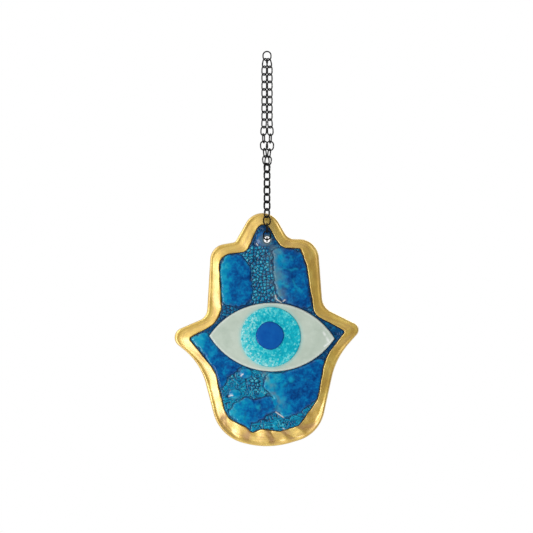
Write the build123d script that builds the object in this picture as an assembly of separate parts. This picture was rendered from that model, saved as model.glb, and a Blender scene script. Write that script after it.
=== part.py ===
from build123d import *
import math
import os

# Glass hand, in millimetres
hand_height = 120.0
hand_width = 94.5
base_thickness = 2.5
field_thickness = 1.8
border_thickness = 2.0
base_rounding = 0.8
border_outer_rounding = 1.4
border_inner_rounding = 0.5
field_rounding = 0.3
seam_gap = 0.15
# Shortest straight piece that two rounded corners leave of the side between them
least_side = 0.5

# Smooth pillows and bubble domes of the blue sheet
pillow_rise = 0.7
pillow_rounding = 0.6

# Eye
eye_length = 64.5
eye_height = 35.3
eye_thickness = 1.3
eye_rounding = 0.6
eye_tilt = -1.2
iris_diameter = 30.9
iris_thickness = 0.7
iris_rounding = 0.5
pupil_diameter = 14.4
pupil_thickness = 0.7
pupil_rounding = 0.5

# Chain
wire = 0.7
link_width = 4.3
link_length = 5.44
through_width = 2.6
through_length = 7.6
ring_width = 4.8
link_play = 0.15
wire_seam = 0.1
links_per_strand = 24
strand_spacing = 2.85
strand_gap = 0.2
hole_play = 0.35
mouth_rounding = 0.8
link_turn = 49.0

# Distance within which an edge counts as lying on a plane or an outline
pick_distance = 0.005

# Levels of the chain between which the two strands turn from side by side to one behind the other
turn_first = 8
turn_last = 15
# Angle in degrees by which they have turned there; the rest follows where the lowest links turn square
turn_most = 88.0
# Level from which the strands open towards the two faces of the glass
open_first = 8
# Level from which the lowest links turn square to the hole
square_first = links_per_strand - 4

# Sizes that follow from the ones above
link_middle_width = link_width - wire
link_middle_length = link_length - wire
through_middle_width = through_width - wire
through_middle_length = through_length - wire
ring_middle_width = ring_width - wire
hook = wire + link_play
pitch = link_middle_length - hook
front_rise = max(field_thickness, border_thickness)
half_glass = (base_thickness + front_rise) / 2
seat = base_thickness - half_glass
field_front = seat + field_thickness
eye_front = field_front + eye_thickness
iris_front = eye_front + iris_thickness
hole_radius = through_width / 2 + hole_play
stand_off = half_glass + link_width / 2 + strand_gap

# Outlines: corner points as shares of the hand's width and height from the hole's centre, and the
# rounding of each corner as a share of the width
hand_corners = [
    (-0.025, 0.196, 0.102),
    (0.116, 0.002, 0.065),
    (0.276, 0.002, 0.106),
    (0.304, -0.292, 0.093),
    (0.525, -0.378, 0.040),
    (0.377, -0.510, 0.409),
    (0.286, -0.837, 0.202),
    (0.000, -0.904, 0.463),
    (-0.260, -0.845, 0.223),
    (-0.363, -0.531, 0.354),
    (-0.554, -0.410, 0.054),
    (-0.329, -0.333, 0.065),
    (-0.306, -0.029, 0.087),
    (-0.174, -0.011, 0.022),
]
field_corners = [
    (-0.025, 0.103, 0.041),
    (0.076, -0.035, 0.065),
    (0.181, -0.039, 0.014),
    (0.216, -0.109, 0.049),
    (0.259, -0.323, 0.071),
    (0.428, -0.394, 0.011),
    (0.315, -0.508, 0.272),
    (0.277, -0.685, 0.082),
    (0.174, -0.799, 0.022),
    (0.071, -0.824, 0.054),
    (-0.027, -0.813, 0.065),
    (-0.082, -0.830, 0.016),
    (-0.117, -0.804, 0.033),
    (-0.221, -0.766, 0.109),
    (-0.282, -0.564, 0.163),
    (-0.427, -0.424, 0.016),
    (-0.242, -0.345, 0.142),
    (-0.263, -0.067, 0.065),
    (-0.108, -0.052, 0.054),
]
pillow_corners = [
    # upper left
    [(-0.238, -0.085, 0.03), (-0.105, -0.085, 0.05), (-0.062, -0.150, 0.04),
     (-0.062, -0.250, 0.03), (-0.110, -0.275, 0.04), (-0.238, -0.285, 0.03)],
    # upper right
    [(0.055, -0.060, 0.03), (0.175, -0.060, 0.03), (0.215, -0.200, 0.05),
     (0.225, -0.295, 0.03), (0.100, -0.262, 0.04), (0.055, -0.180, 0.05)],
    # lower right
    [(0.020, -0.590, 0.03), (0.160, -0.572, 0.10), (0.285, -0.515, 0.03),
     (0.245, -0.690, 0.04), (0.070, -0.745, 0.04)],
    # bottom middle
    [(-0.175, -0.690, 0.04), (-0.060, -0.680, 0.05), (0.030, -0.725, 0.03),
     (-0.030, -0.780, 0.03), (-0.180, -0.750, 0.03)],
]
# Bubble domes: centre as shares of width and height, radius in millimetres
bubble_domes = [
    (-0.115, -0.572, 3.2),
    (-0.185, -0.660, 2.8),
]
eye_centre = (0.027, -0.419)
iris_centre = (0.021, -0.418)
pupil_centre = (0.016, -0.412)


def ease(level, first, last):
    """Share that rises smoothly from 0 at the first level to 1 at the last."""
    share = min(max((level - first) / (last - first), 0.0), 1.0)
    return share * share * (3 - 2 * share)


# Chain: the front strand's hooking points, from the ring down to the link in the hole
ring_middle = wire / 2 - link_middle_length / 2
ring_bow_radius = ring_middle_width / 2
ring_bow_centre = ring_middle - (link_middle_length / 2 - ring_bow_radius)
first_spacing = (wire + 2 * link_play) / math.sin(math.radians(link_turn))
first_hook_radius = ring_bow_radius - hook
first_lift = math.sqrt(first_hook_radius**2 - (first_spacing / 2) ** 2)
inner_reach = through_middle_length / 2 - hook
slant = math.acos((stand_off - inner_reach) / link_middle_length)


def strand_turn(level):
    """Angle in degrees by which the strands have turned round each other at this level."""
    rest = 90 - turn_most
    lowest = links_per_strand - 1
    return turn_most * ease(level, turn_first, turn_last) + rest * ease(level, square_first, lowest)


def half_spacing(level):
    """Half the distance between the two strands at this level."""
    lowest = links_per_strand - 1
    opening = max(level - open_first, 0) / (lowest - open_first)
    return strand_spacing / 2 + (stand_off - strand_spacing / 2) * opening


top_hook = Vector(-first_spacing / 2, 0, ring_bow_centre - first_lift - hook / 2)
hooks = [top_hook]
for level in range(1, links_per_strand):
    side = math.radians(strand_turn(level))
    reach = half_spacing(level)
    across = Vector(-reach * math.cos(side), -reach * math.sin(side), 0)
    step = across - Vector(hooks[-1].X, hooks[-1].Y, 0)
    drop = math.sqrt(pitch**2 - step.length**2)
    hooks.append(Vector(across.X, across.Y, hooks[-1].Z - drop))


def link_heading(level):
    """Direction in degrees, seen from above, in which the link below this level is wide."""
    swing = (strand_turn(level) + strand_turn(level + 1)) / 2
    lean = link_turn if level % 2 == 0 else 180 - link_turn
    square = 90 * ((links_per_strand - 1 - level) % 2)
    turned = square + 180 * round((lean + swing - square) / 180)
    settle = ease(level + 1, square_first, links_per_strand)
    return (lean + swing) * (1 - settle) + turned * settle


def wire_link(width, length):
    """A link bent from wire, lying in the XY plane with its length along Y; its ends meet at one side."""
    bow = width / 2
    straight = length / 2 - bow
    sides = [
        Line((bow, wire_seam / 2), (bow, straight)),
        ThreePointArc((bow, straight), (0, straight + bow), (-bow, straight)),
        Line((-bow, straight), (-bow, -straight)),
        ThreePointArc((-bow, -straight), (0, -straight - bow), (bow, -straight)),
        Line((bow, -straight), (bow, -wire_seam / 2)),
    ]
    path = Wire(sides)
    section = Plane(origin=path @ 0, z_dir=path % 0) * Circle(wire / 2)
    return sweep(section, path=path)


def placed(shape, centre, across, along):
    """The shape with its X along the across vector and its Y along the along vector."""
    return Plane(origin=centre, x_dir=across, z_dir=across.cross(along)).location * shape


def square_to(direction, along):
    """The part of the direction that is square to the along vector, with length one."""
    return (direction - along * direction.dot(along)).normalized()


parts = {}
link = wire_link(link_middle_width, link_middle_length)
ring = wire_link(ring_middle_width, link_middle_length)
through = wire_link(through_middle_width, through_middle_length)
parts["hanger_ring"] = placed(ring, Vector(0, 0, ring_middle), Vector(1, 0, 0), Vector(0, 0, 1))

half_turn = Rotation(0, 0, 180)
for level in range(links_per_strand - 1):
    upper = hooks[level]
    lower = hooks[level + 1]
    along = (upper - lower).normalized()
    heading = math.radians(link_heading(level))
    across = square_to(Vector(math.cos(heading), math.sin(heading), 0), along)
    shape = placed(link, (upper + lower) * 0.5, across, along)
    parts[f"front_link_{level + 1:02d}"] = shape
    parts[f"rear_link_{level + 1:02d}"] = half_turn * shape

# The lowest link of each strand slants into the hole, and the link in the hole joins the two
slant_along = Vector(0, -math.cos(slant), math.sin(slant))
slant_top = hooks[-1] + Vector(0, 0, hook / 2)
slant_shape = placed(link, slant_top - slant_along * (link_middle_length / 2), Vector(1, 0, 0), slant_along)
parts[f"front_link_{links_per_strand:02d}"] = slant_shape
parts[f"rear_link_{links_per_strand:02d}"] = half_turn * slant_shape
hole_height = slant_top.Z - link_middle_length * math.sin(slant)
parts["through_link"] = placed(through, Vector(0, 0, hole_height), Vector(0, 0, 1), Vector(0, 1, 0))

# Glass hand: drawn facing the front, with the hole's centre as the middle of the drawing
drawing = Plane(origin=(0, 0, hole_height), x_dir=(1, 0, 0), z_dir=(0, -1, 0))


def layer(depth):
    """The drawing plane moved towards the front by this depth."""
    return drawing.offset(depth)


def spot(share):
    """A point of the drawing from its shares of the hand's width and height."""
    return (share[0] * hand_width, share[1] * hand_height)


def rounded_outline(corners):
    """A closed face whose corners are rounded, each by its own radius or by what its two sides leave room for."""
    points = [Vector(*spot(corner)) for corner in corners]
    count = len(points)
    sides = [points[(index + 1) % count] - points[index] for index in range(count)]
    reaches = []
    half_angles = []
    for index, corner in enumerate(corners):
        back = sides[index - 1].normalized() * -1
        half_angle = math.acos(back.dot(sides[index].normalized())) / 2
        half_angles.append(half_angle)
        reaches.append(corner[2] * hand_width / math.tan(half_angle))
    rooms = []
    for index, side in enumerate(sides):
        taken = reaches[index] + reaches[(index + 1) % count]
        rooms.append(min((side.length - least_side) / taken, 1.0))
    edges = []
    ends = []
    for index, here in enumerate(points):
        before = sides[index - 1].normalized() * -1
        after = sides[index].normalized()
        half_angle = half_angles[index]
        reach = reaches[index] * min(rooms[index - 1], rooms[index])
        radius = reach * math.tan(half_angle)
        middle = (before + after).normalized()
        start = here + before * reach
        end = here + after * reach
        crown = here + middle * (radius / math.sin(half_angle) - radius)
        edges.append(ThreePointArc(start, crown, end))
        ends.append((start, end))
    for index in range(count):
        edges.append(Line(ends[index - 1][1], ends[index][0]))
    return make_face(edges)


def front_edges(solid, depth):
    """The edges of the solid that lie at this depth of the drawing."""
    level = -depth
    return solid.edges().filter_by_position(Axis.Y, level - pick_distance, level + pick_distance)


def edges_along(solid, outline):
    """The front edges of the border that run along this outline."""
    depth = seat + border_thickness
    rim = (layer(depth) * outline).face().outer_wire()
    return front_edges(solid, depth).filter_by(lambda edge: rim.distance_to(edge @ 0.5) < pick_distance)


def hole(depth, height):
    """A cylinder for the hanging hole from this depth forwards."""
    return extrude(layer(depth) * Circle(hole_radius), height)


def hole_mouth(solid, depth):
    """The edge of the hanging hole at this depth."""
    circles = front_edges(solid, depth).filter_by(GeomType.CIRCLE)
    return circles.filter_by(lambda edge: abs(edge.radius - hole_radius) < pick_distance)


def almond(length, height):
    """The eye's outline: two equal arcs that meet in points."""
    left = (-length / 2, 0)
    right = (length / 2, 0)
    upper = ThreePointArc(left, (0, height / 2), right)
    lower = ThreePointArc(right, (0, -height / 2), left)
    return make_face([upper, lower])


hand_face = rounded_outline(hand_corners)
field_face = rounded_outline(field_corners)
border_opening = offset(field_face, seam_gap, kind=Kind.ARC)

base = extrude(layer(-half_glass) * hand_face, base_thickness)
base = fillet(front_edges(base, -half_glass), base_rounding)
base -= hole(-half_glass, base_thickness)
parts["base_glass"] = fillet(hole_mouth(base, -half_glass), mouth_rounding)

border = extrude(layer(seat) * (hand_face - border_opening), border_thickness)
border = fillet(edges_along(border, hand_face), border_outer_rounding)
parts["gilt_border"] = fillet(edges_along(border, border_opening), border_inner_rounding)

eye_spot = Pos(*spot(eye_centre)) * Rot(0, 0, eye_tilt)
eye_face = eye_spot * almond(eye_length, eye_height)

field = extrude(layer(seat) * field_face, field_thickness)
field = fillet(front_edges(field, field_front), field_rounding)
for corners in pillow_corners:
    pillow = extrude(layer(seat) * rounded_outline(corners), field_thickness + pillow_rise)
    field += fillet(front_edges(pillow, field_front + pillow_rise), pillow_rounding)
for dome in bubble_domes:
    radius = dome[2]
    ball_radius = (radius**2 + pillow_rise**2) / (2 * pillow_rise)
    ball = layer(field_front + pillow_rise - ball_radius) * Pos(*spot(dome)) * Sphere(ball_radius)
    cap = extrude(layer(seat + field_thickness / 2) * Pos(*spot(dome)) * Circle(radius), field_thickness)
    field += ball & cap
field -= hole(seat, field_thickness + pillow_rise)
parts["blue_field"] = fillet(hole_mouth(field, field_front), mouth_rounding)

eye = extrude(layer(field_front) * eye_face, eye_thickness)
parts["eye_white"] = fillet(front_edges(eye, eye_front), eye_rounding)
iris = extrude(layer(eye_front) * Pos(*spot(iris_centre)) * Circle(iris_diameter / 2), iris_thickness)
parts["eye_iris"] = fillet(front_edges(iris, iris_front), iris_rounding)
pupil = extrude(layer(iris_front) * Pos(*spot(pupil_centre)) * Circle(pupil_diameter / 2), pupil_thickness)
parts["eye_pupil"] = fillet(front_edges(pupil, iris_front + pupil_thickness), pupil_rounding)

os.makedirs("parts", exist_ok=True)
for name, shape in parts.items():
    export_step(shape, f"parts/{name}.step")
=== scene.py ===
import math

import bmesh
import bpy
import numpy as np
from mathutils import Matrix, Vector
from mathutils.geometry import delaunay_2d_cdt


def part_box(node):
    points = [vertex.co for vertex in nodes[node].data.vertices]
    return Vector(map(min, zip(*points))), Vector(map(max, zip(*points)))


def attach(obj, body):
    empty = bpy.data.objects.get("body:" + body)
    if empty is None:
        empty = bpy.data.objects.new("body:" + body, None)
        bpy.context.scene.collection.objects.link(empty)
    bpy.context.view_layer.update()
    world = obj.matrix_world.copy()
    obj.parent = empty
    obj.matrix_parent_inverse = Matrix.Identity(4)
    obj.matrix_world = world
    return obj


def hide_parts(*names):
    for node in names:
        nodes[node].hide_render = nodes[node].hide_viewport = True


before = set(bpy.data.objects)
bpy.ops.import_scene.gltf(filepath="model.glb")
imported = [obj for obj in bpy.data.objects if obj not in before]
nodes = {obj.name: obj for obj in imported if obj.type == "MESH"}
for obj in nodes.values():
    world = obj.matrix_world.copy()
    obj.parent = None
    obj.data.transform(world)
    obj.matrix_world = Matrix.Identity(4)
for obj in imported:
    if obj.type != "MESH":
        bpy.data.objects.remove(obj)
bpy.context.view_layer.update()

# Drawing of the hand, in millimetres from the hole's centre: x to the right, z up, and depth towards
# the front from the plane that the border and the blue sheet sit on
MM = 0.001
hand_width = 94.5
hand_height = 120.0
hole_play = 0.35
mouth_rounding = 0.9
through_low, through_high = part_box("through_link")
hole = (through_low + through_high) / 2
hole_radius = (through_high.z - through_low.z) / 2 / MM + hole_play
seat_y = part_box("blue_field")[1].y


def depth_of(y):
    """Depth in the drawing of a place in the frame."""
    return (seat_y - y) / MM


field_front = depth_of(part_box("eye_white")[1].y)
pillow_front = depth_of(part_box("blue_field")[0].y)
border_front = depth_of(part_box("gilt_border")[0].y)
eye_front = depth_of(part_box("eye_iris")[1].y)
iris_front = depth_of(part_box("eye_pupil")[1].y)
pupil_front = depth_of(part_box("eye_pupil")[0].y)
base_back = depth_of(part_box("base_glass")[1].y)

# Outlines: corners as shares of the hand's width and height, and their rounding as a share of the width
hand_corners = [
    (-0.025, 0.196, 0.102),
    (0.116, 0.002, 0.065),
    (0.276, 0.002, 0.106),
    (0.304, -0.292, 0.093),
    (0.525, -0.378, 0.040),
    (0.377, -0.510, 0.409),
    (0.286, -0.837, 0.202),
    (0.000, -0.904, 0.463),
    (-0.260, -0.845, 0.223),
    (-0.363, -0.531, 0.354),
    (-0.554, -0.410, 0.054),
    (-0.329, -0.333, 0.065),
    (-0.306, -0.029, 0.087),
    (-0.174, -0.011, 0.022),
]
field_corners = [
    (-0.025, 0.103, 0.041),
    (0.076, -0.035, 0.065),
    (0.181, -0.039, 0.014),
    (0.216, -0.109, 0.049),
    (0.259, -0.323, 0.071),
    (0.428, -0.394, 0.011),
    (0.315, -0.508, 0.272),
    (0.277, -0.685, 0.082),
    (0.174, -0.799, 0.022),
    (0.071, -0.824, 0.054),
    (-0.027, -0.813, 0.065),
    (-0.082, -0.830, 0.016),
    (-0.117, -0.804, 0.033),
    (-0.221, -0.766, 0.109),
    (-0.282, -0.564, 0.163),
    (-0.427, -0.424, 0.016),
    (-0.242, -0.345, 0.142),
    (-0.263, -0.067, 0.065),
    (-0.108, -0.052, 0.054),
]
# Corners of the hand and of the field that lie across the gilt band from each other
facing_corners = [(0, 0), (1, 1), (2, 2), (3, 4), (4, 5), (5, 6), (6, 8), (7, 10), (8, 13), (9, 14), (10, 15),
                  (11, 16), (12, 17), (13, 18)]

eye_centre = (0.027 * hand_width, -0.419 * hand_height)
eye_length = 64.5
eye_height = 35.3
eye_tilt = math.radians(-1.2)
iris_centre = (0.021 * hand_width, -0.418 * hand_height)
iris_radius = 15.45
pupil_centre = (0.016 * hand_width, -0.412 * hand_height)
pupil_radius = 7.2

# Smooth pillows of the blue sheet, in millimetres from the hole's centre
pillows = {
    "upper_left": [(-22.5, -8.3), (-13.9, -7.6), (-11.4, -10.3), (-8.9, -12.8), (-7.8, -16.5), (-8.3, -19.8),
                   (-7.6, -23.1), (-7.1, -25.9), (-7.7, -29.2), (-9.1, -32.1), (-11.8, -34.1), (-15.9, -34.8),
                   (-20.4, -34.1), (-23.2, -33.4), (-23.7, -28.0), (-24.1, -22.2), (-24.3, -16.5),
                   (-23.7, -12.4)],
    "upper_right": [(3.0, -4.2), (7.5, -4.4), (13.2, -5.0), (17.4, -6.0), (19.4, -10.7), (20.4, -16.5),
                    (21.5, -22.2), (22.3, -28.0), (23.3, -33.7), (21.1, -35.4), (16.9, -35.4),
                    (12.4, -33.5), (7.5, -32.1), (4.6, -28.0), (3.8, -22.2), (3.0, -16.5), (2.6, -9.9)],
    "left_side": [(-40.2, -51.2), (-36.6, -49.2), (-33.0, -47.9), (-30.4, -48.2), (-28.8, -50.7),
                  (-25.2, -54.6), (-20.1, -59.2), (-14.9, -62.8), (-12.4, -64.4), (-14.4, -66.7),
                  (-15.7, -68.4), (-18.5, -69.8), (-20.0, -71.0), (-20.6, -72.9), (-20.9, -74.4),
                  (-23.2, -76.0), (-24.9, -77.2), (-27.3, -70.3), (-31.9, -60.0), (-36.1, -54.8)],
    "bottom_middle": [(-19.6, -88.5), (-17.4, -84.7), (-14.4, -82.6), (-11.4, -80.9), (-8.0, -82.2),
                      (-3.8, -81.8), (-1.2, -80.5), (3.5, -80.5), (6.0, -83.5), (6.5, -87.9), (-0.4, -90.7),
                      (-1.2, -92.8), (-4.6, -93.7), (-8.4, -95.0), (-8.4, -98.1), (-10.6, -96.3),
                      (-14.0, -95.4), (-17.4, -92.8), (-19.6, -89.9)],
    "lower_right": [(-0.4, -68.9), (3.9, -68.4), (10.4, -67.8), (15.9, -66.1), (22.3, -63.3), (29.6, -60.4),
                    (29.6, -66.3), (28.3, -72.7), (27.0, -79.2), (25.3, -83.4), (24.0, -83.4), (21.0, -86.4),
                    (15.5, -89.8), (8.6, -91.9), (6.1, -89.4), (4.1, -87.7), (3.1, -84.3), (1.8, -79.2),
                    (-2.1, -77.0), (-1.0, -72.7)],
}
# Pillows that are greener or less green than the others, and by how much
greener = {"upper_right": -0.1, "left_side": 0.06, "bottom_middle": 0.05}
# Bubble domes: centre, half width, half height and greenness; the last is the swelling round the hole
domes = [(-11.1, -69.0, 3.6, 2.8, 0.7), (-16.6, -79.6, 3.5, 2.7, 0.95), (-1.9, 0.4, 4.1, 4.1, 0.55)]
# Painted grey shade in the glass beside the hole: centre and radius
hole_side_shade_spot = (-1.4, -0.6, 4.0)
# Greyish veils where two sheets of blue glass meet: line, width and weight
veils = [
    ([(3.5, -5.4), (3.9, -11.6), (4.1, -18.3), (5.4, -25.0), (7.2, -30.1)], 4.2, 0.3),
    ([(-0.9, -68.7), (0.8, -73.0), (2.2, -76.7), (5.8, -82.0), (6.2, -86.9)], 2.6, 0.12),
]
# Short pale strokes: painted highlights for the most part, and a few scratched lines
highlights_and_scratches = [
    [(4.6, -88.9), (8.4, -91.6)],
    [(15.1, -65.6), (17.3, -65.2)],
    [(4.3, -28.8), (4.9, -30.8), (7.4, -32.5)],
    [(8.3, -31.8), (9.4, -31.1)],
    [(-23.6, -32.4), (-23.0, -33.6)],
    [(-5.4, -2.2), (-4.8, -3.0)],
    [(-13.4, -70.3), (-12.9, -69.6), (-12.4, -69.3)],
    [(-19.5, -80.7), (-18.8, -80.2), (-17.7, -80.3)],
    [(8.3, -97.3), (9.0, -97.8)],
]
# Light swirls in the glass
swirls = [
    [(3.4, -10.6), (5.2, -9.2), (7.2, -9.4), (8.4, -10.8)],
    [(4.8, -15.6), (8.6, -14.8), (11.6, -15.6), (15.4, -15.0)],
    [(5.6, -20.0), (6.8, -23.0), (6.2, -26.4), (7.4, -29.6)],
    [(13.6, -21.0), (15.2, -25.0), (17.6, -27.4)],
    [(8.6, -74.6), (6.2, -79.0), (8.0, -83.6)],
]
# Bright spots: fleck colour in the glass, and painted highlights by the upper left pillow's left edge; centre
# and radius
flecks_and_highlights = [
    (-21.6, -20.1, 1.3), (-20.9, -24.6, 1.2), (-21.4, -30.4, 1.3), (-22.6, -14.6, 1.1), (2.7, -72.7, 1.1),
    (6.2, -79.6, 1.8), (-18.4, -88.4, 1.5), (-34.6, -51.8, 1.8), (-28.4, -58.6, 1.6), (9.6, -24.0, 1.6),
    (5.0, -19.6, 1.6), (12.6, -9.6, 1.4), (6.0, -28.0, 1.4), (-4.6, -86.4, 1.6), (12.4, -72.0, 1.6),
    (2.0, -75.6, 2.2), (4.4, -80.6, 2.0), (8.2, -82.0, 1.8),
]
# Patches of round bubbles apart from the strip: centre and radius
bubble_patches = [(-6.4, -74.0, 3.8), (-27.0, -39.5, 3.5), (-19.0, -38.0, 4.6), (24.0, -38.6, 3.6)]
# The strip of large bubbles between the two upper pillows
strip = [(-8.8, -3.9), (3.1, -3.9), (3.1, -9.5), (3.3, -16.7), (4.1, -22.4), (5.2, -28.1), (7.7, -32.2),
         (5.2, -33.7), (-2.6, -33.2), (-8.8, -33.7), (-7.2, -29.6), (-7.2, -25.0), (-8.0, -19.8),
         (-7.5, -16.2), (-9.3, -12.1), (-12.4, -9.0)]


# Random fields over the drawing: each repeats after this many steps
TABLE = 128
# Share of a cell's step that its middle keeps from the step's ends
cell_margin = 0.05
cell_room = 1 - 2 * cell_margin


def noise(points, size, seed):
    """Smooth random values from -1 to 1 that change over this size."""
    table = np.random.default_rng(seed).uniform(-1, 1, (TABLE, TABLE))
    grid = np.asarray(points) / size
    index = np.floor(grid).astype(int)
    part = grid - index
    part = part * part * (3 - 2 * part)
    x, z = part[:, 0], part[:, 1]

    def corner(dx, dz):
        return table[(index[:, 0] + dx) % TABLE, (index[:, 1] + dz) % TABLE]

    low = corner(0, 0) * (1 - x) + corner(1, 0) * x
    high = corner(0, 1) * (1 - x) + corner(1, 1) * x
    return low * (1 - z) + high * z


def cells(points, size, seed):
    """Random cells of about this size: each point's distance from its cell's rim and from its middle, as
    shares of the size, and a random value of its cell."""
    table = np.random.default_rng(seed).random((TABLE, TABLE, 3))
    grid = np.asarray(points) / size
    index = np.floor(grid).astype(int)
    nearest = np.full(len(grid), np.inf)
    second = np.full(len(grid), np.inf)
    value = np.zeros(len(grid))
    for dx in range(-2, 3):
        for dz in range(-2, 3):
            cell = index + (dx, dz)
            chance = table[cell[:, 0] % TABLE, cell[:, 1] % TABLE]
            away = np.linalg.norm(grid - cell - cell_margin - cell_room * chance[:, :2], axis=1)
            closer = away < nearest
            second = np.where(closer, nearest, np.minimum(second, away))
            value = np.where(closer, chance[:, 2], value)
            nearest = np.minimum(nearest, away)
    return second - nearest, nearest, value


def rise(values, low, high):
    """Values turned into a share that goes smoothly from 0 at low to 1 at high."""
    share = np.clip((values - low) / (high - low), 0, 1)
    return share * share * (3 - 2 * share)


def quarter_round(distance, radius):
    """Drop of a rounded edge at this distance from the rim."""
    share = 1 - np.clip(distance / radius, 0, 1)
    return radius * (1 - np.sqrt(1 - share * share))


def bell(distance, width):
    """Share that falls smoothly from 1 at no distance to almost 0 at twice this width."""
    return np.exp(-((distance / width) ** 2))


def away_from(points, centre):
    """Distance of each point from a centre."""
    return np.hypot(points[:, 0] - centre[0], points[:, 1] - centre[1])


def mouth_gap(points):
    """Distance of each point from the rim of the hanging hole."""
    return away_from(points, (0, 0)) - hole_radius


# Outlines
def unit(vector):
    return vector / np.linalg.norm(vector)


def rounded(corners, step=0.15):
    """Points round a closed outline with rounded corners, and the share of its length at each corner."""
    spots = np.array([(x * hand_width, z * hand_height) for x, z, _ in corners])
    points = []
    crowns = []
    for i, here in enumerate(spots):
        radius = corners[i][2] * hand_width
        before = unit(spots[i - 1] - here)
        after = unit(spots[(i + 1) % len(spots)] - here)
        half = math.acos(before @ after) / 2
        turn = math.pi - 2 * half
        centre = here + unit(before + after) * radius / math.sin(half)
        first = here + before * radius / math.tan(half) - centre
        last = here + after * radius / math.tan(half) - centre
        share = np.linspace(0, 1, 2 * int(radius * turn / step / 2) + 3)[:, None]
        arc = (np.sin((1 - share) * turn) * first + np.sin(share * turn) * last) / math.sin(turn)
        crowns.append(len(points) + len(arc) // 2)
        points.extend(arc + centre)
    points = np.array(points)
    return points, lengths(points)[crowns]


def lengths(points):
    """Share of a closed outline's length at each of its points."""
    sides = np.linalg.norm(np.roll(points, -1, axis=0) - points, axis=1)
    return np.concatenate([[0], np.cumsum(sides)[:-1]]) / sides.sum()


def perimeter(points):
    """Length of a closed outline."""
    return np.linalg.norm(np.roll(points, -1, axis=0) - points, axis=1).sum()


def at_shares(points, shares):
    """The points at these shares of a closed outline's length."""
    run = np.append(lengths(points), 1)
    closed = np.vstack([points, points[:1]])
    shares = np.asarray(shares) % 1
    return np.column_stack([np.interp(shares, run, closed[:, axis]) for axis in (0, 1)])


def evenly(points, step):
    """The closed outline with its points this far apart."""
    count = int(perimeter(points) / step)
    return at_shares(points, np.arange(count) / count)


def softened(points):
    """The closed outline with its corners cut twice."""
    points = np.array(points)
    for _ in range(2):
        after = np.roll(points, -1, axis=0)
        points = np.stack([0.75 * points + 0.25 * after, 0.25 * points + 0.75 * after], axis=1).reshape(-1, 2)
    return points


def along_line(points, line):
    """Distance of each point from an open line."""
    found = np.full(len(points), np.inf)
    for first, last in zip(line[:-1], line[1:]):
        first = np.array(first)
        side = np.array(last) - first
        away = points - first
        share = np.clip(away @ side / (side @ side), 0, 1)
        found = np.minimum(found, np.linalg.norm(away - share[:, None] * side, axis=1))
    return found


def near_lines(points, lines, width):
    """Share that falls from 1 on any of these open lines, over this width."""
    found = np.zeros(len(points))
    for line in lines:
        found = np.maximum(found, bell(along_line(points, line), width))
    return found


def inside_by(points, outline):
    """How far each point lies inside a closed outline, negative outside."""
    inside = np.zeros(len(points), bool)
    for first, last in zip(outline, np.roll(outline, -1, axis=0)):
        if first[1] == last[1]:
            continue
        crosses = (first[1] > points[:, 1]) != (last[1] > points[:, 1])
        reach = first[0] + (points[:, 1] - first[1]) * (last[0] - first[0]) / (last[1] - first[1])
        inside ^= crosses & (points[:, 0] < reach)
    away = along_line(points, np.vstack([outline, outline[:1]]))
    return np.where(inside, away, -away)


def almond():
    """The eye's outline: two equal arcs that meet in points."""
    half = eye_length / 2
    radius = (half**2 + (eye_height / 2) ** 2) / eye_height
    reach = math.asin(half / radius)
    steps = 80
    angles = np.linspace(-reach, reach, steps)
    upper = np.column_stack([radius * np.sin(angles), radius * np.cos(angles) - radius + eye_height / 2])
    points = np.vstack([upper[:-1], -upper[:-1]])
    turn = np.array([[math.cos(eye_tilt), math.sin(eye_tilt)], [-math.sin(eye_tilt), math.cos(eye_tilt)]])
    return points @ turn + eye_centre


def circle(centre, radius, squareness=0.0, wobble=0.0, seed=0):
    """A round outline, a little squared or uneven where asked."""
    count = 240
    lean = 0.6
    grain = 9
    angles = np.arange(count) / count * 2 * math.pi
    ring = np.column_stack([np.cos(angles), np.sin(angles)])
    uneven = noise(ring * grain, size=2.0, seed=seed)
    reach = radius * (1 + squareness * np.cos(4 * angles - lean) + wobble * uneven)
    return np.array(centre) + ring * reach[:, None]


# Meshes
def place(points, depth):
    """Places in the frame of points of the drawing at these depths."""
    return np.column_stack([hole.x + points[:, 0] * MM, seat_y - depth * MM, hole.z + points[:, 1] * MM])


def drawn(obj):
    """The points of the drawing at an object's vertices."""
    co = np.array([v.co for v in obj.data.vertices])
    return np.column_stack([(co[:, 0] - hole.x) / MM, (co[:, 2] - hole.z) / MM])


# Angles in degrees from which an edge looks sharp, on plain pieces and on those with fine relief
plain_sharp = 40
fine_sharp = 60


def piece(name, mesh, node, sharp_degrees=plain_sharp):
    """A finished mesh as a piece that rides on the hand and stands for a CAD node."""
    mesh.shade_smooth()
    mesh.set_sharp_from_angle(angle=math.radians(sharp_degrees))
    obj = bpy.data.objects.new(name, mesh)
    bpy.context.scene.collection.objects.link(obj)
    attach(obj, "hand")
    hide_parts(node)
    return obj


def spread(outline, spacing, wanted=None, holes=()):
    """Points of a staggered grid inside an outline, clear of its rim, where wanted says so."""
    low = outline.min(axis=0)
    high = outline.max(axis=0)
    rows = np.arange(low[1], high[1], spacing * math.sqrt(0.75))
    columns = np.arange(low[0], high[0], spacing)
    grid = np.array([(x + spacing / 2 * (i % 2), z) for i, z in enumerate(rows) for x in columns])
    clearance = spacing * 0.6
    keep = inside_by(grid, outline) > clearance
    for ring in holes:
        keep &= inside_by(grid, ring) < -clearance
    grid = grid[keep]
    return grid if wanted is None else grid[wanted(grid)]


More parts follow.
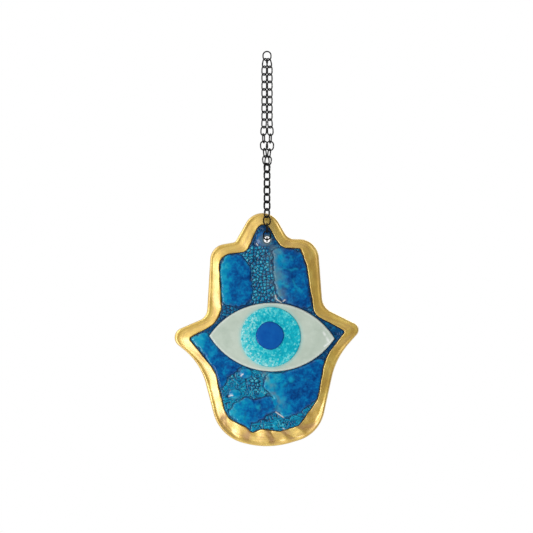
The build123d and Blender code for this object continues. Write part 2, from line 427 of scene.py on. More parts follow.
def slab(name, outline, inner_points, surface, flat, holes=()):
    """A closed mesh between a flat plane and a surface, which gives the depth at each point."""
    rims = [outline, *holes]
    points = np.vstack([*rims, inner_points])
    edges = []
    first = 0
    for rim in rims:
        edges += [(first + i, first + (i + 1) % len(rim)) for i in range(len(rim))]
        first += len(rim)
    inner_faces = 1
    merge_distance = 1e-6
    found, _, faces = delaunay_2d_cdt([Vector(p) for p in points], edges, [], inner_faces, merge_distance)[:3]
    found = np.array(found)
    middles = np.array([found[list(face)].mean(axis=0) for face in faces])
    keep = inside_by(middles, outline) > 0
    for ring in holes:
        keep &= inside_by(middles, ring) < 0
    shape = bmesh.new()
    corners = [shape.verts.new(p) for p in place(found, surface(found))]
    for face, kept in zip(faces, keep):
        if kept:
            shape.faces.new([corners[i] for i in face])
    rim_edges = [edge for edge in shape.edges if edge.is_boundary]
    wall = bmesh.ops.extrude_edge_only(shape, edges=rim_edges)["geom"]
    for vert in wall:
        if isinstance(vert, bmesh.types.BMVert):
            vert.co.y = seat_y - flat * MM
    foot = [edge for edge in wall if isinstance(edge, bmesh.types.BMEdge)]
    bmesh.ops.triangle_fill(shape, edges=foot)
    loose = [vert for vert in shape.verts if not vert.link_faces]
    bmesh.ops.delete(shape, geom=loose, context="VERTS")
    bmesh.ops.recalc_face_normals(shape, faces=shape.faces)
    mesh = bpy.data.meshes.new(name)
    shape.to_mesh(mesh)
    shape.free()
    return mesh


def paint(obj, name, values):
    """Keeps a value for each vertex, for the material to read."""
    layer = obj.data.attributes.new(name, "FLOAT", "POINT")
    layer.data.foreach_set("value", np.asarray(values, np.float32))


# Materials
def tone(red, green, blue):
    """A colour from its display values, 0 to 255."""
    levels = [c / 255 for c in (red, green, blue)]
    return (*[c / 12.92 if c <= 0.04045 else ((c + 0.055) / 1.055) ** 2.4 for c in levels], 1.0)


class Graph:
    """Shader nodes in a tree."""

    def __init__(self, tree):
        self.tree = tree

    def node(self, kind, settings=None, **inputs):
        made = self.tree.nodes.new(kind)
        for key, value in (settings or {}).items():
            setattr(made, key, value)
        for key, value in inputs.items():
            self.feed(made.inputs[key.replace("_", " ")], value)
        return made

    def feed(self, socket, value):
        if isinstance(value, bpy.types.NodeSocket):
            self.tree.links.new(value, socket)
        else:
            socket.default_value = value

    def calc(self, operation, first, second):
        made = self.node("ShaderNodeMath", {"operation": operation})
        self.feed(made.inputs[0], first)
        self.feed(made.inputs[1], second)
        return made.outputs["Value"]

    def between(self, value, low, high, to_low=0.0, to_high=1.0):
        """The value's smooth way from low to high, turned into another range."""
        made = self.node("ShaderNodeMapRange", {"interpolation_type": "SMOOTHSTEP"}, Value=value, From_Min=low,
                         From_Max=high, To_Min=to_low, To_Max=to_high)
        return made.outputs["Result"]

    def ramp(self, value, *stops):
        made = self.node("ShaderNodeValToRGB", Fac=value)
        band = made.color_ramp
        while len(band.elements) < len(stops):
            band.elements.new(1.0)
        for element, (position, colour) in zip(band.elements, stops):
            element.position = position
            element.color = colour
        return made.outputs["Color"]

    def mix(self, share, first, second):
        made = self.node("ShaderNodeMix", {"data_type": "RGBA"})
        self.feed(made.inputs[0], share)
        self.feed(made.inputs[6], first)
        self.feed(made.inputs[7], second)
        return made.outputs[2]


class Finish(Graph):
    """A material and the nodes that feed its shader."""

    def __init__(self, name, **constants):
        self.material = bpy.data.materials.new(name)
        self.material.use_nodes = True
        super().__init__(self.material.node_tree)
        self.shader = self.tree.nodes["Principled BSDF"]
        for key, value in constants.items():
            self.shader.inputs[key.replace("_", " ")].default_value = value
        self.place = self.node("ShaderNodeTexCoord").outputs["Object"]

    def noise(self, size, detail=2.0, distortion=0.0, vector=None, roughness=0.5):
        """Noise whose blotches are about this many millimetres wide."""
        made = self.node("ShaderNodeTexNoise", Vector=vector or self.place, Scale=1 / (size * MM),
                         Detail=detail, Distortion=distortion, Roughness=roughness)
        return made.outputs["Fac"]

    def painted(self, name, output="Fac"):
        made = self.node("ShaderNodeAttribute", {"attribute_name": name})
        return made.outputs[output]

    def bump(self, height, distance, strength=1.0):
        """Fine relief on top of the mesh: the height's full range stands for this many millimetres."""
        made = self.node("ShaderNodeBump", Height=height, Distance=distance * MM, Strength=strength)
        self.tree.links.new(made.outputs["Normal"], self.shader.inputs["Normal"])

    def set(self, **inputs):
        for key, value in inputs.items():
            self.feed(self.shader.inputs[key.replace("_", " ")], value)
        return self.material


def dress(obj, material):
    """Gives an object this material alone."""
    obj.data.materials.clear()
    obj.data.materials.append(material)


# Gilt band, in millimetres: a closed ring of cross-sections, from the outer rim over the crown to the inner rim
# Share of the drawn outline's size at which the finer curve stays inside the piece's box
snugness = 0.9998
hand_outline, hand_shares = rounded(hand_corners)
hand_outline = snugness * hand_outline
field_outline, field_shares = rounded(field_corners)
sections = 1080
across_front = 22
outer_round = 1.1
inner_round = 0.5
# Gap between the band and the blue sheet, and the unevenness of the band's inner rim
inner_step = 0.15
rim_wobble = 0.22
# How much lower the outer side lies than the inner one, and how far the middle sags
outer_drop = 0.95
centre_sag = 0.08
# Relief of the front, and the distances from the outer rim over which it sets in
wave_depth = 0.27
dent_depth = 0.05
relief_reach = (0.4, 2.6)
# Share of the band's length at which its noise starts to turn back to its beginning
closing_share = 0.96
# Crests of the crimped lower edge, from left to right, and the heights below the hole where it sets in
crimp_crests = np.array([-44.0, -27.0, -12.6, 0.5, 12.6, 22.5, 34.0])
crimp_reach = (80, 92)
crimp_fall = 0.42
crimp_depth = 0.6
crimp_shift = 1.6


def crimp(x):
    """Height of the crimps as a share, from each crest a fall to the right and a longer rise, and the
    share of the fall."""
    index = np.clip(np.searchsorted(crimp_crests, x) - 1, 0, len(crimp_crests) - 2)
    share = (x - crimp_crests[index]) / (crimp_crests[index + 1] - crimp_crests[index])
    height = np.where(share < crimp_fall, 1 - rise(share, 0, crimp_fall), rise(share, crimp_fall, 1))
    return height, np.clip(np.sin(math.pi * share / crimp_fall), 0, 1) * (share < crimp_fall)


def facing_outlines():
    """Points of the outer and the inner rim of the band that face each other."""
    outer_keys = [hand_shares[a] for a, _ in facing_corners] + [1 + hand_shares[0]]
    inner_keys = [field_shares[b] for _, b in facing_corners] + [1 + field_shares[0]]
    steps = hand_shares[0] + np.arange(sections) / sections
    return at_shares(hand_outline, steps), at_shares(field_outline, np.interp(steps, outer_keys, inner_keys))


def along_band(run, across, size, seed, stretch=1.0):
    """Noise along the band, drawn out lengthwise, that meets itself where the band closes."""
    length = perimeter(hand_outline)
    first = noise(np.column_stack([run / stretch, across]), size, seed)
    again = noise(np.column_stack([(run - length) / stretch, across]), size, seed)
    return first + (again - first) * rise(run, closing_share * length, length)


def band_mesh():
    """The band's mesh, and for each vertex its place along and across the band and its share of painted shade
    on the crimps' falling sides.
    """
    outer, inner = facing_outlines()
    run = np.arange(sections) / sections * perimeter(outer)
    toward = inner - outer
    width = np.linalg.norm(toward, axis=1)
    toward /= width[:, None]
    wobble = rim_wobble * along_band(run, 0 * run, size=3.2, seed=3)
    width = width - inner_step + wobble
    lowness = rise(-outer[:, 1], *crimp_reach)
    rows = []
    marks = []
    crimp_shades = []
    ease = (1 - np.cos(np.linspace(0, math.pi, across_front))) / 2
    for share in ease:
        across = share * width
        waves = along_band(run, across, size=4.5, seed=7, stretch=2.2)
        dents = along_band(run, across, size=2.6, seed=6)
        body = rise(across, *relief_reach)
        crimps, falls = crimp(outer[:, 0] + crimp_shift * along_band(run, across, size=3.5, seed=8))
        height = border_front - outer_drop * (1 - share) - centre_sag * math.sin(math.pi * share)
        height = height - quarter_round(across, outer_round) - quarter_round(width - across, inner_round)
        height = height - lowness * body * (crimp_depth * (1 - crimps) + dent_depth * (1 - dents))
        height = height - wave_depth * body * (1 - waves)
        rows.append(place(outer + toward * across[:, None], np.minimum(height, border_front)))
        marks.append(across)
        # The crimps' falling sides get painted shade
        crimp_shades.append(lowness * body * falls)
    for share in (1.0, 0.0):
        across = share * width
        rows.append(place(outer + toward * across[:, None], np.zeros(sections)))
        marks.append(across)
        crimp_shades.append(np.zeros(sections))
    loop = len(rows)
    places = np.stack(rows, axis=1).reshape(-1, 3)
    faces = []
    for i in range(sections):
        after = (i + 1) % sections
        for j in range(loop):
            beside = (j + 1) % loop
            faces.append((i * loop + j, i * loop + beside, after * loop + beside, after * loop + j))
    mesh = bpy.data.meshes.new("gilt_band")
    mesh.from_pydata(places.tolist(), [], faces)
    shape = bmesh.new()
    shape.from_mesh(mesh)
    bmesh.ops.recalc_face_normals(shape, faces=shape.faces)
    shape.to_mesh(mesh)
    shape.free()
    turn = 2 * math.pi * np.repeat(np.arange(sections), loop) / sections
    radius = perimeter(outer) / 2 / math.pi
    wound = np.column_stack([radius * np.cos(turn), radius * np.sin(turn), np.stack(marks, axis=1).ravel()])
    return mesh, wound, np.stack(crimp_shades, axis=1).ravel()


mesh, wound, crimp_shade = band_mesh()
gilt_band = piece("gilt_band", mesh, "gilt_border")
layer = gilt_band.data.attributes.new("wound", "FLOAT_VECTOR", "POINT")
layer.data.foreach_set("vector", wound.astype(np.float32).ravel())
paint(gilt_band, "crimp_shade", crimp_shade)

gilt = Finish("gilt_lustre", Metallic=0.6, Coat_Weight=1.0, Coat_Roughness=0.3, Coat_IOR=1.9)
lengthwise = gilt.node("ShaderNodeMapping", Vector=gilt.painted("wound", "Vector"), Scale=(0.02, 0.02, 0.55))
streaks = gilt.node("ShaderNodeTexNoise", Vector=lengthwise.outputs["Vector"], Scale=2.2, Detail=4.0)
brushed = gilt.ramp(streaks.outputs["Fac"], (0.25, (0, 0, 0, 1)), (0.75, (1, 1, 1, 1)))
patches = gilt.noise(7, detail=3, distortion=0.6)
gold = gilt.ramp(patches, (0.28, tone(196, 154, 46)), (0.5, tone(212, 174, 60)), (0.72, tone(226, 196, 88)))
gold = gilt.mix(gilt.between(brushed, 0.1, 0.55, 0.4, 0.0), gold, tone(156, 114, 40))
gold = gilt.mix(gilt.between(gilt.noise(1.5, detail=4), 0.66, 0.74, 0.0, 0.4), gold, tone(116, 84, 44))
# Painted shade: the falling side of each crimp turns a coppery brown, in patches
crimp_shade_patches = gilt.between(gilt.noise(5, detail=3), 0.35, 0.6, 0.2, 0.65)
crimp_shade_share = gilt.calc("MULTIPLY", gilt.painted("crimp_shade"), crimp_shade_patches)
gold = gilt.mix(crimp_shade_share, gold, tone(180, 126, 82))
roughness = gilt.between(brushed, 0.0, 1.0, 0.5, 0.36)
gilt.bump(brushed, 0.02)
dress(gilt_band, gilt.set(Base_Color=gold, Roughness=roughness))

# Blue sheet: smooth pillows and bubble domes, and a foam of small bubbles between them
pillow_edges = {name: softened(points) for name, points in pillows.items()}
strip_edge = softened(strip)
eye_outline = almond()
field_edge = evenly(field_outline, 0.8)
# Distances between the mesh's points: on the rim, in the foam and on the smooth glass
rim_spacing = 0.35
foam_spacing = 0.24
smooth_spacing = 0.62
pillow_edge_width = 1.5
field_edge_width = 0.7
# How much lower the pillows are than the bubble domes
pillow_ease = 0.1
# Depth and width of the groove round each pillow, and the middle height of the foam
groove_depth = 0.12
groove_width = 0.3
foam_level = 0.12
# Distance from the eye over which the relief fades out
eye_fade = 1.4


def pillow_depths(points):
    """How far each point lies inside the nearest pillow, with an uneven edge, negative outside them all."""
    ragged = 0.6 * noise(points, size=1.6, seed=11) + 0.2 * noise(points, size=0.7, seed=12)
    found = np.full(len(points), -np.inf)
    for edge in pillow_edges.values():
        found = np.maximum(found, inside_by(points, edge))
    return found + ragged


def dome_share(points):
    """Height of the bubble domes as a share of their rise."""
    found = np.zeros(len(points))
    for x, z, half_width, half_height, _ in domes:
        away = ((points[:, 0] - x) / half_width) ** 2 + ((points[:, 1] - z) / half_height) ** 2
        found = np.maximum(found, np.clip(1 - away, 0, 1) ** 0.8)
    return found


def foam_pattern(points):
    """Round bubbles in the strip and the patches, and swirling lines elsewhere: clearness of dark lines,
    brightness with a painted highlight in the middle of each bubble and of some cells, and relief."""
    shifted = points + 0.25 * noise(points, size=1.4, seed=21)[:, None]
    rim, middle, value = cells(shifted, size=1.75, seed=22)
    among = inside_by(points, strip_edge) + 0.8
    for x, z, radius in bubble_patches:
        among = np.maximum(among, radius - away_from(points, (x, z)))
    among = rise(among + 0.8 * noise(points, size=1.8, seed=28), 0.0, 0.8)
    bubble_clear = rise(rim, 0.08, 0.30)
    # Painted highlight: each bubble lighter towards its middle
    bubble_light = 0.6 * value + 0.4 * rise(-middle, -0.42, -0.1)
    bubble_relief = 0.05 + 0.28 * rise(rim, 0.0, 0.55)
    swirl = 3.0 * noise(points, size=5.0, seed=25) + 1.2 * noise(points, size=2.4, seed=26)
    swirl = swirl + 0.5 * noise(points, size=0.9, seed=27)
    ridge = np.abs((0.85 * swirl) % 1 - 0.5) * 2
    line = rise(ridge, 0.62, 0.9)
    low_half = rise(-points[:, 1], 58, 70)
    swirl_light = 0.42 * low_half + 0.3 * noise(points, size=2.0, seed=29) + 0.2 * rise(-ridge, -0.4, 0.0)
    # Painted highlights: bright dots in the middle of some cells
    swirl_light = swirl_light + 0.4 * rise(value, 0.75, 0.85) * rise(-middle, -0.4, -0.1)
    clear = bubble_clear * among + (1 - 0.9 * line) * (1 - among)
    beside_eye = rise(np.abs(points[:, 0] - eye_centre[0]), 12, 18) * rise(-points[:, 1], 30, 36)
    beside_eye = beside_eye * (1 - low_half)
    light = (bubble_light * among + swirl_light * (1 - among)) * (1 - 0.5 * beside_eye)
    return clear, light, bubble_relief * among + (foam_level - 0.1 * line) * (1 - among)


def field_surface(points):
    """Depth of the blue sheet's front."""
    inside = pillow_depths(points)
    foam = rise(-inside, -0.1, 0.5) * (1 - rise(dome_share(points), 0.0, 0.3))
    eye_gap = -inside_by(points, eye_outline)
    pillow_rise = pillow_front - field_front - pillow_ease
    swell = (pillow_edge_width - quarter_round(inside, pillow_edge_width)) / pillow_edge_width
    swell = np.where(inside > 0, swell, 0) * (1 + 0.12 * noise(points, size=5.5, seed=13))
    lift = np.maximum(pillow_rise * swell, (pillow_front - field_front) * dome_share(points))
    lift = lift + foam * (foam_pattern(points)[2] - foam_level)
    lift = lift - groove_depth * bell(inside, groove_width)
    lift = lift * rise(eye_gap, 0.0, eye_fade)
    edge = inside_by(points, field_edge)
    depth = np.minimum(field_front + lift, pillow_front) - 0.9 * quarter_round(edge, field_edge_width)
    return depth - quarter_round(mouth_gap(points), mouth_rounding)


def in_foam(points):
    """Whether each point lies in the foam or close to it, where the mesh is fine."""
    away = inside_by(points, eye_outline) < 0.5
    return (pillow_depths(points) < 1.2) & away


field_hole = circle((0, 0), hole_radius)
field_rim = evenly(field_outline, rim_spacing)
fine = spread(field_rim, foam_spacing, in_foam, [field_hole])
coarse = spread(field_rim, smooth_spacing, lambda points: ~in_foam(points), [field_hole])
mesh = slab("blue_sheet", field_rim, np.vstack([fine, coarse]), field_surface, 0.0, [field_hole])
blue_sheet = piece("blue_sheet", mesh, "blue_field", fine_sharp)


def veil_share(points):
    """Greyness of the veils: a close streak and a wide haze along each line."""
    found = np.zeros(len(points))
    for line, width, weight in veils:
        away = along_line(points, line)
        near = bell(away, 0.8) * (0.3 + 0.5 * noise(points, size=1.3, seed=31))
        wide = bell(away, width) * (weight + 0.55 * noise(points, size=2.2, seed=34))
        found = found + np.maximum(near, 0) + np.maximum(wide, 0)
    return np.clip(found, 0, 0.75)


def swirl_share(points):
    """Lightness of the swirls and of the bright spots, some of them painted highlights."""
    bent = points + noise(points, size=1.8, seed=35)[:, None]
    found = 0.5 * near_lines(bent, swirls, 0.8)
    for x, z, radius in flecks_and_highlights:
        away = away_from(points, (x, z)) + 0.9 * noise(points, size=1.2, seed=36)
        found = np.maximum(found, 0.7 * (1 - rise(away, 0.2 * radius, 1.3 * radius)))
    return found


def lit_side_and_tint_share(points, dome):
    """Painted light and tint of the smooth glass: each pillow lighter and greener on its left side, falling to
    the right, and a dome with its own tint.
    """
    found = np.zeros(len(points))
    for name, outline in pillow_edges.items():
        low = outline[:, 0].min()
        glow = 1 - (points[:, 0] - low) / np.ptp(outline[:, 0]) + greener.get(name, 0)
        found = np.maximum(found, (inside_by(points, outline) > 0) * glow)
    for x, z, half_width, half_height, glow in domes:
        beside = (np.abs(points[:, 0] - x) < half_width) & (np.abs(points[:, 1] - z) < half_height)
        found = np.where(beside & (dome > 0), glow, found)
    return found


def blue_marks(points):
    """Named values of the blue glass at each point, for its material."""
    inside = pillow_depths(points)
    dome = dome_share(points)
    gloss = rise(dome, 0.0, 0.3)
    clear, light, _ = foam_pattern(points)
    seam = bell(inside, 0.34) * (0.75 + 0.5 * noise(points, size=2.4, seed=32))
    dome_line = bell(dome - 0.12, 0.12) * (dome > 0)
    eye_shade = 0.9 * bell(-inside_by(points, eye_outline), 0.5)
    edge_shade = 0.8 * bell(inside_by(points, field_edge), 0.45)
    # Painted shade round the hole: a grey ring at its rim and a grey patch beside it
    hole_rim_shade = mouth_gap(points) + 0.2 * noise(points, size=1.1, seed=33)
    hole_side_shade = away_from(points, hole_side_shade_spot) + 0.5 * noise(points, size=1.3, seed=37)
    hole_side_shade_radius = hole_side_shade_spot[2]
    return {
        "foam": rise(-inside, -0.15, 0.45) * (1 - gloss),
        "clear": clear,
        "light": light,
        "seam": np.clip(np.maximum(seam, dome_line), 0, 1),
        "veil": veil_share(points),
        # Painted highlights, with a few scratched lines
        "highlight_and_scratch": 0.85 * near_lines(points, highlights_and_scratches, 0.28),
        "swirl": swirl_share(points),
        "glow": lit_side_and_tint_share(points, dome),
        "gloss": gloss,
        "shade": np.maximum(eye_shade, edge_shade),
        "hole_rim_shade": 1 - rise(hole_rim_shade, 0.5, 1.2),
        "hole_side_shade": 0.6 * (1 - rise(hole_side_shade, 0.5 * hole_side_shade_radius, hole_side_shade_radius)),
    }


for name, values in blue_marks(drawn(blue_sheet)).items():
    paint(blue_sheet, name, values)

blue = Finish("blue_bubble_glass", Specular_IOR_Level=0.22)
mottle = blue.calc("ADD", blue.calc("MULTIPLY", blue.noise(4.2, detail=3, distortion=0.5), 0.6),
                   blue.calc("MULTIPLY", blue.noise(1.2, detail=3, distortion=0.6), 0.4))
# Painted light: the pillows lighter and greener towards their left side; the domes keep their own tint
mottle = blue.calc("ADD", mottle, blue.between(blue.painted("glow"), 0.45, 1.0, -0.03, 0.22))
smooth_blue = blue.ramp(mottle, (0.34, tone(0, 56, 118)), (0.45, tone(0, 80, 146)), (0.55, tone(0, 108, 168)),
                        (0.68, tone(0, 140, 180)), (0.9, tone(60, 178, 192)))
smudge = blue.between(blue.noise(3.2, detail=3), 0.56, 0.70, 0.0, 0.45)
smooth_blue = blue.mix(smudge, smooth_blue, tone(20, 70, 118))
smooth_blue = blue.mix(blue.painted("swirl"), smooth_blue, tone(16, 158, 194))
speck = blue.noise(0.8, detail=3)
bright = blue.calc("ADD", blue.painted("light"), blue.between(speck, 0.3, 0.7, -0.12, 0.12))
foam_blue = blue.ramp(bright, (0.0, tone(4, 66, 114)), (0.35, tone(6, 112, 156)), (0.7, tone(8, 146, 178)),
                      (1.0, tone(96, 190, 204)))
foam_blue = blue.mix(blue.painted("clear"), tone(4, 40, 74), foam_blue)
colour = blue.mix(blue.painted("foam"), smooth_blue, foam_blue)
# Tints over the blue: grey veils, dark seams, painted highlights with a few scratched lines, painted shade by
# the eye and along the field's edge, and painted grey shade round and beside the hole
blue_tints = [
    ("veil", tone(98, 126, 136)),
    ("seam", tone(5, 36, 72)),
    ("highlight_and_scratch", tone(226, 222, 216)),
    ("shade", tone(8, 34, 58)),
    ("hole_side_shade", tone(96, 122, 132)),
    ("hole_rim_shade", tone(92, 112, 120)),
]
for name, tint in blue_tints:
    colour = blue.mix(blue.painted(name), colour, tint)
roughness = blue.between(blue.painted("gloss"), 0.0, 1.0, 0.18, 0.06)
blue.bump(blue.noise(2.6, detail=2), 0.10)
dress(blue_sheet, blue.set(Base_Color=colour, Roughness=roughness))

# Back sheet: clear-backed blue glass whose rim is gilded over the edge
base_round = 0.9
gilded_width = 3.2
# Where the mesh is fine: the middle of that strip beyond the gilding's edge, and half its width
fine_middle = 0.4
fine_half = 1.4
# Room that the sheet's ripples need in front of the piece's back, and their height
ripple_room = 0.05
ripple_height = 0.05
# Rings of points by the rounded rim, and what they may be off their distance from it
rim_insets = (0.25, 0.6, 1.1, 1.9)
inset_slack = 0.05


def base_surface(points):
    """Depth of the back sheet's rear side."""
    edge = inside_by(points, hand_outline)
    ripple = ripple_height * noise(points, size=9, seed=41) * rise(edge, 1, 4)
    rounding = quarter_round(edge, base_round)
    return base_back + ripple_room + ripple + rounding + quarter_round(mouth_gap(points), mouth_rounding)


base_rim = evenly(hand_outline, 0.6)
near_rim = []
for inset in rim_insets:
    normal = np.roll(base_rim, -1, axis=0) - np.roll(base_rim, 1, axis=0)
    normal = np.column_stack([normal[:, 1], -normal[:, 0]]) / np.linalg.norm(normal, axis=1)[:, None]
    ring = base_rim + normal * inset
    near_rim.append(ring[np.abs(inside_by(ring, base_rim) - inset) < inset_slack])


def by_gilding(points):
    """Whether each point lies by the edge of the gilding, where the mesh is fine."""
    return np.abs(inside_by(points, base_rim) - gilded_width - fine_middle) < fine_half


def beyond_gilding(points):
    """Whether each point lies well inside the gilding."""
    return inside_by(points, base_rim) >= gilded_width + fine_middle + fine_half


base_points = np.vstack([spread(base_rim, 0.5, by_gilding, [field_hole]),
                         spread(base_rim, 1.3, beyond_gilding, [field_hole]), *near_rim])
mesh = slab("back_sheet", base_rim, base_points, base_surface, 0.0, [field_hole])
back_sheet = piece("back_sheet", mesh, "base_glass")
spots = drawn(back_sheet)
edge = inside_by(spots, hand_outline)
edge = edge + 0.5 * noise(spots, size=4, seed=42) + 0.25 * noise(spots, size=1.6, seed=43)
paint(back_sheet, "gilding", 1 - rise(edge, gilded_width - 0.25, gilded_width + 0.25))

back = Finish("back_glass", Specular_IOR_Level=0.3)
depths = back.ramp(back.noise(8, detail=4, distortion=1.2), (0.3, tone(10, 48, 86)), (0.55, tone(14, 78, 128)),
                   (0.8, tone(40, 120, 156)))
rim_gold = back.ramp(back.noise(5, detail=4, distortion=0.5), (0.3, tone(160, 120, 50)),
                     (0.7, tone(222, 188, 104)))
colour = back.mix(back.painted("gilding"), depths, rim_gold)
roughness = back.between(back.painted("gilding"), 0.0, 1.0, 0.12, 0.36)
back.bump(back.noise(1.4, detail=3), 0.05)
metal = back.between(back.painted("gilding"), 0.0, 1.0, 0.0, 0.82)
dress(back_sheet, back.set(Base_Color=colour, Roughness=roughness, Metallic=metal))

# Eye: a pale almond, a disc of turquoise frit and a cobalt pupil, each lying on the one below
eye_round = 0.75
# Drop of the almond towards its rim and the width over which it drops, and the height of its ripples
eye_dish = 0.16
dish_width = 6.0
eye_ripple = 0.03
# Width of the rim on which the almond's mesh is fine
fine_rim = 1.6
# Painted highlights: bright lines on the right tip of the almond
tip_highlights = [
    [(29.2, -47.6), (29.9, -49.2)],
    [(30.6, -49.4), (31.6, -52.6)],
    [(34.0, -51.2), (32.0, -53.2), (29.6, -55.0)],
]
eye_rim = evenly(eye_outline, 0.4)


def eye_surface(points):
    """Depth of the almond's front: dished towards the rim, with a rounded edge and slow ripples."""
    edge = inside_by(points, eye_outline)
    dish = eye_dish * (1 - rise(edge, 0, dish_width))
    ripple = eye_ripple * (1 - noise(points, size=5, seed=51)) * rise(edge, 0.5, 2)
    return eye_front - dish - quarter_round(edge, eye_round) - ripple


def by_eye_rim(points):
    """Whether each point lies by the almond's rim, where the mesh is fine."""
    return inside_by(points, eye_rim) < fine_rim


eye_points = np.vstack([spread(eye_rim, 0.35, by_eye_rim),
                        spread(eye_rim, 1.1, lambda points: ~by_eye_rim(points))])
mesh = slab("eye_almond", eye_rim, eye_points, eye_surface, field_front)
eye_almond = piece("eye_almond", mesh, "eye_white")
spots = drawn(eye_almond)
iris_gap = away_from(spots, iris_centre) - iris_radius
paint(eye_almond, "tint", bell(iris_gap, 0.9))
# Painted highlight: the almond lighter along its rounded rim
paint(eye_almond, "rim", 1 - rise(inside_by(spots, eye_outline), 0.3, 1.6))
paint(eye_almond, "tip_highlight", near_lines(spots, tip_highlights, 0.35))

white = Finish("white_glass", Roughness=0.16, Specular_IOR_Level=0.3)
milk = white.ramp(white.noise(5, detail=4, distortion=0.4), (0.3, tone(180, 194, 180)),
                  (0.7, tone(197, 209, 196)))
# Painted highlight along the rim
milk = white.mix(white.calc("MULTIPLY", white.painted("rim"), 0.6), milk, tone(214, 222, 214))
grain = white.between(white.noise(0.7, detail=2), 0.62, 0.72, 0.0, 0.35)
milk = white.mix(grain, milk, tone(176, 190, 178))
milk = white.mix(white.calc("MULTIPLY", white.painted("tint"), 0.7), milk, tone(150, 208, 206))
milk = white.mix(white.calc("MULTIPLY", white.painted("tip_highlight"), 0.8), milk, tone(238, 241, 238))
white.bump(white.noise(3, detail=2), 0.05)
dress(eye_almond, white.set(Base_Color=milk))

disc_round = 0.55
# Depth of the groove round a grain of frit: the least, and what the grain's random value adds
least_groove = 0.05
more_groove = 0.10
# Drop of the pupil towards its rim and the width over which it drops
pupil_dome = 0.14
pupil_dome_width = 4
iris_outline = circle(iris_centre, iris_radius, wobble=0.006, seed=61)
iris_rim = evenly(iris_outline, 0.4)


def frit(points):
    """Grains of frit, as cells with uneven rims."""
    shifted = points + 0.3 * noise(points, size=0.9, seed=62)[:, None]
    return cells(shifted, size=1.0, seed=63)


def iris_surface(points):
    """Depth of the iris's front, with a groove round each grain."""
    edge = inside_by(points, iris_outline)
    rim, _, value = frit(points)
    grooves = (least_groove + more_groove * value) * (1 - rise(rim, 0.0, 0.4)) * rise(edge, 0.1, 0.8)
    return iris_front - quarter_round(edge, disc_round) - grooves


mesh = slab("iris_disc", iris_rim, spread(iris_rim, 0.3), iris_surface, eye_front)
iris_disc = piece("iris_disc", mesh, "eye_iris", fine_sharp)
spots = drawn(iris_disc)
rim, _, value = frit(spots)
reach = away_from(spots, iris_centre) / iris_radius
side = (spots[:, 0] - iris_centre[0]) / iris_radius
up = (spots[:, 1] - iris_centre[1]) / iris_radius
paint(iris_disc, "grain", value)
paint(iris_disc, "grain_rim", rise(rim, 0.0, 0.3))
# Painted light: the frit paler on its left and lower side, and paler towards its rim
paleness_and_left_light = 0.2 + 0.45 * rise(reach, 0.55, 0.95) - 0.35 * side - 0.12 * up
paint(iris_disc, "paleness_and_left_light", np.clip(paleness_and_left_light, 0, 1))

turquoise = Finish("turquoise_frit", Roughness=0.18, Specular_IOR_Level=0.25)
speckle = turquoise.noise(0.62, detail=3, distortion=0.8)
level = turquoise.calc("ADD", turquoise.calc("MULTIPLY", turquoise.painted("grain"), 0.5),
                       turquoise.calc("MULTIPLY", speckle, 0.5))
# Painted light on the frit, paler on the left and lower side
level = turquoise.calc("ADD", level, turquoise.between(turquoise.painted("paleness_and_left_light"), 0.0, 1.0, -0.1, 0.22))
frit_colour = turquoise.ramp(level, (0.2, tone(0, 158, 181)), (0.45, tone(8, 182, 200)),
                             (0.66, tone(76, 204, 211)), (0.95, tone(170, 227, 227)))
frit_colour = turquoise.mix(turquoise.between(turquoise.painted("grain_rim"), 0.0, 1.0, 0.4, 0.0), frit_colour,
                            tone(0, 140, 160))
turquoise.bump(speckle, 0.05)
dress(iris_disc, turquoise.set(Base_Color=frit_colour))

pupil_outline = circle(pupil_centre, pupil_radius, squareness=0.016, wobble=0.006, seed=71)
pupil_rim = evenly(pupil_outline, 0.3)


def pupil_surface(points):
    """Depth of the pupil's front, a little domed."""
    edge = inside_by(points, pupil_outline)
    drop = pupil_dome * (1 - rise(edge, 0, pupil_dome_width))
    return pupil_front - drop - quarter_round(edge, disc_round)


mesh = slab("pupil_disc", pupil_rim, spread(pupil_rim, 0.35), pupil_surface, iris_front)
pupil_disc = piece("pupil_disc", mesh, "eye_pupil")
spots = drawn(pupil_disc)
paint(pupil_disc, "rim", 1 - rise(inside_by(spots, pupil_outline), 0.0, 0.9))
cobalt = Finish("cobalt_glass", Roughness=0.14, Specular_IOR_Level=0.25)
deep = cobalt.ramp(cobalt.noise(3.5, detail=4, distortion=0.5), (0.3, tone(8, 78, 160)),
                   (0.7, tone(16, 94, 172)))
deep = cobalt.mix(cobalt.calc("MULTIPLY", cobalt.painted("rim"), 0.7), deep, tone(4, 50, 128))
cobalt.bump(cobalt.noise(1.8, detail=3), 0.04)
dress(pupil_disc, cobalt.set(Base_Color=deep))

# Chain: blackened wire on every link
wire = Finish("blackened_wire", Metallic=0.2, Specular_IOR_Level=0.15)
soot = wire.ramp(wire.noise(1.6, detail=3), (0.3, tone(8, 8, 8)), (0.7, tone(20, 19, 18)))
wire.bump(wire.noise(0.5, detail=2), 0.02)
wire.set(Base_Color=soot, Roughness=wire.between(wire.noise(1.1), 0.3, 0.7, 0.34, 0.5))
for name, obj in nodes.items():
    if "link" in name or name == "hanger_ring":
        dress(obj, wire.material)

# Studio: a pale floor below the ornament, soft lamps and a white background
scene = bpy.context.scene
floor_height = -0.30
floor_radius = 0.36
bpy.ops.mesh.primitive_circle_add(vertices=96, radius=floor_radius, fill_type="NGON",
                                  location=(0, 0, floor_height))
floor = bpy.context.object
floor.name = "floor"
paper = Finish("pale_paper", Roughness=0.9, Emission_Color=(1, 1, 1, 1), Emission_Strength=0.3)
paper_colour = paper.ramp(paper.noise(60, detail=2), (0.3, (0.86, 0.86, 0.86, 1)), (0.7, (0.88, 0.88, 0.88, 1)))
dress(floor, paper.set(Base_Color=paper_colour))

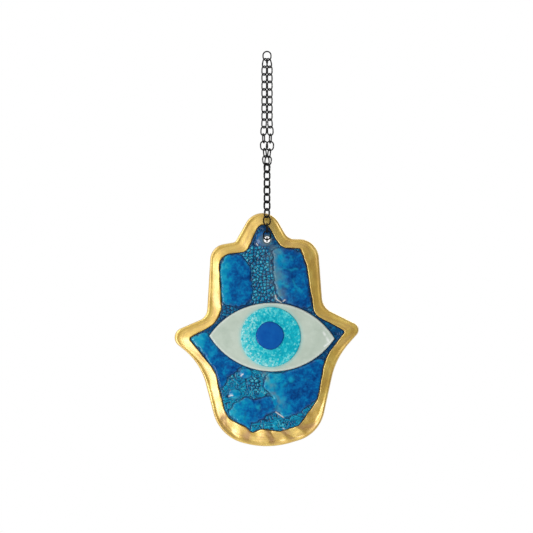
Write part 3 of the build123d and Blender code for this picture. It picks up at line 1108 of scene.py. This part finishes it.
# Lamps: name, place and size in metres, power in watts
lamps = [
    ("key", (-0.88, -0.74, 0.50), 0.60, 5.6),
    ("front", (-0.42, -0.95, -0.30), 0.40, 2.7),
    ("spark", (-0.60, -0.95, -0.40), 0.06, 1.0),
    ("fill", (0.9, -0.9, 0.3), 0.7, 0.7),
    ("back", (0.5, 1.0, 0.4), 0.9, 6),
]
aim = Vector((0.0, 0.0, hole.z - 0.05))
for name, spot, size, power in lamps:
    data = bpy.data.lights.new(name, "AREA")
    data.shape = "DISK"
    data.size = size
    data.energy = power
    lamp = bpy.data.objects.new(name, data)
    scene.collection.objects.link(lamp)
    lamp.location = spot
    lamp.rotation_euler = (aim - Vector(spot)).to_track_quat("-Z", "Y").to_euler()
    lamp.visible_camera = False

# The room: white for the camera, and for reflections bright on the left, above and behind the ornament, and
# dim on the viewer's side
ambient = 0.38
viewer_side = 0.07
world = bpy.data.worlds.new("studio")
scene.world = world
world.use_nodes = True
world.node_tree.nodes.clear()
room = Graph(world.node_tree)
path = room.node("ShaderNodeLightPath").outputs
heading = room.node("ShaderNodeTexCoord").outputs["Generated"]
axes = room.node("ShaderNodeSeparateXYZ", Vector=heading).outputs
left = room.between(axes["X"], -0.50, -0.10, 0.80, 0.0)
above = room.calc("MULTIPLY", room.between(axes["Z"], 0.00, 0.34, 0.0, 0.9),
                  room.between(axes["X"], -0.10, 0.35, 1.0, 0.3))
below = room.between(axes["Z"], -0.50, -0.12, 0.5, 0.0)
behind = room.between(axes["Y"], -0.2, 0.3, 0.0, 1.0)
seen = room.calc("ADD", room.calc("ADD", left, above), room.calc("ADD", below, viewer_side))
seen = room.calc("MINIMUM", room.calc("ADD", seen, behind), 1.0)
reflected = room.calc("MULTIPLY", path["Is Glossy Ray"], room.calc("SUBTRACT", seen, ambient))
direct = room.calc("MAXIMUM", path["Is Camera Ray"], path["Is Transmission Ray"])
strength = room.calc("MAXIMUM", room.calc("ADD", reflected, ambient), direct)
background = room.node("ShaderNodeBackground", Color=(1, 1, 1, 1), Strength=strength)
room.node("ShaderNodeOutputWorld", Surface=background.outputs[0])

# Camera: straight in front, at the photograph's framing, whose middle lies this far from the hole
frame_width = 0.2745
distance = 1.2
framing_x = -0.00026
framing_z = -0.0139
data = bpy.data.cameras.new("camera")
data.sensor_width = 36.0
data.lens = data.sensor_width * distance / frame_width
camera = bpy.data.objects.new("camera", data)
scene.collection.objects.link(camera)
camera.location = (framing_x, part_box("gilt_border")[0].y - distance, hole.z + framing_z)
camera.rotation_euler = (math.pi / 2, 0, 0)
scene.camera = camera
scene.view_settings.view_transform = "Standard"
